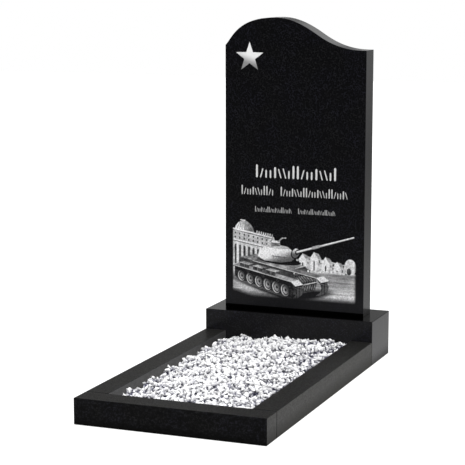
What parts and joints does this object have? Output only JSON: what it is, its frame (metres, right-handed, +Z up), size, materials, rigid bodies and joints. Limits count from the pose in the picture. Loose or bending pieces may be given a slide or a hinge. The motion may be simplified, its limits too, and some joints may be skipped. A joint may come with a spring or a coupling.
{
  "type": "upright headstone",
  "caption": "Upright polished black granite headstone with a wave top, on a plinth, with a low kerb in front holding a bed of white marble chips. It stands by its own weight.",
  "frame": {"origin": "on the ground, under the middle of the whole memorial's footprint", "axes": "+X to the viewer's right, +Y from the kerb's front to the back of the plinth, +Z up; the slab faces -Y"},
  "size_m": [0.6, 1.2, 1.1503],
  "materials": {
    "slab_granite": "polished",
    "plinth_granite": "polished",
    "kerb_granite": "polished",
    "white_marble": "matte"
  },
  "bodies": {
    "root": {"headstone_slab": "slab_granite", "plinth": "plinth_granite", "kerb_front_bar": "kerb_granite", "kerb_left_bar": "kerb_granite", "kerb_right_bar": "kerb_granite", "marble_chips": "white_marble"}
  },
  "joints": []
}
